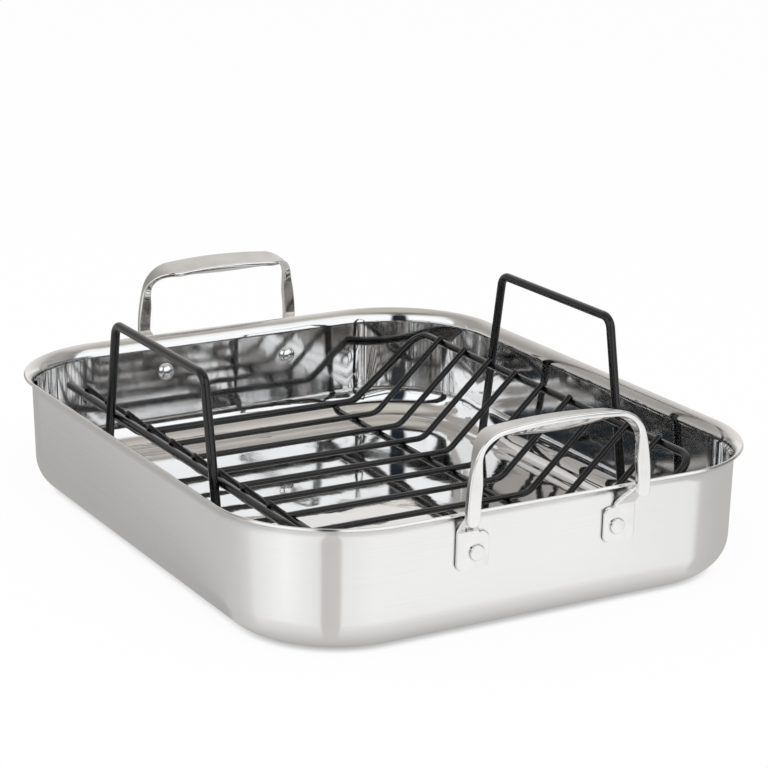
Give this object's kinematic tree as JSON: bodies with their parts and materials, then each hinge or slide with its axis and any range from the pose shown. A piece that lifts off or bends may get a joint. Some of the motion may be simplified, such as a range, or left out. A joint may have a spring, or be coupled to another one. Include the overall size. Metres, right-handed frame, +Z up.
{
  "type": "roasting pan",
  "caption": "Rectangular roasting pan with rounded corners, a flared rim, riveted bow handles and a dark lift-out wire rack with sloping sides and upright handles.",
  "frame": {"origin": "centre of the pan's flat base, on the table", "axes": "+X along the pan's length towards the front handle, +Y across its width, +Z up"},
  "size_m": [0.4318, 0.338, 0.129],
  "materials": {
    "pan_steel": "brushed outside, mirror polished inside",
    "handle_steel": "satin with polished edges",
    "rivet_steel": "polished",
    "rack_coating": "satin dark non-stick coating"
  },
  "bodies": {
    "pan": {"pan_body": "pan_steel", "front_handle": "handle_steel", "back_handle": "handle_steel", "front_left_rivet": "rivet_steel", "front_right_rivet": "rivet_steel", "back_left_rivet": "rivet_steel", "back_right_rivet": "rivet_steel"},
    "rack": {"rack_frame": "rack_coating", "rack_cross_wire_1": "rack_coating", "rack_cross_wire_2": "rack_coating", "rack_cross_wire_3": "rack_coating", "rack_cross_wire_4": "rack_coating", "rack_cross_wire_5": "rack_coating", "rack_cross_wire_6": "rack_coating", "rack_cross_wire_7": "rack_coating", "rack_cross_wire_8": "rack_coating", "rack_cross_wire_9": "rack_coating", "rack_left_lower_rail": "rack_coating", "rack_right_lower_rail": "rack_coating", "rack_left_handle": "rack_coating", "rack_right_handle": "rack_coating"}
  },
  "joints": [
    {"name": "rack_lift", "type": "slide", "parent": "pan", "child": "rack", "axis": [0, 0, 1], "range_m": [0, 0.12]}
  ]
}
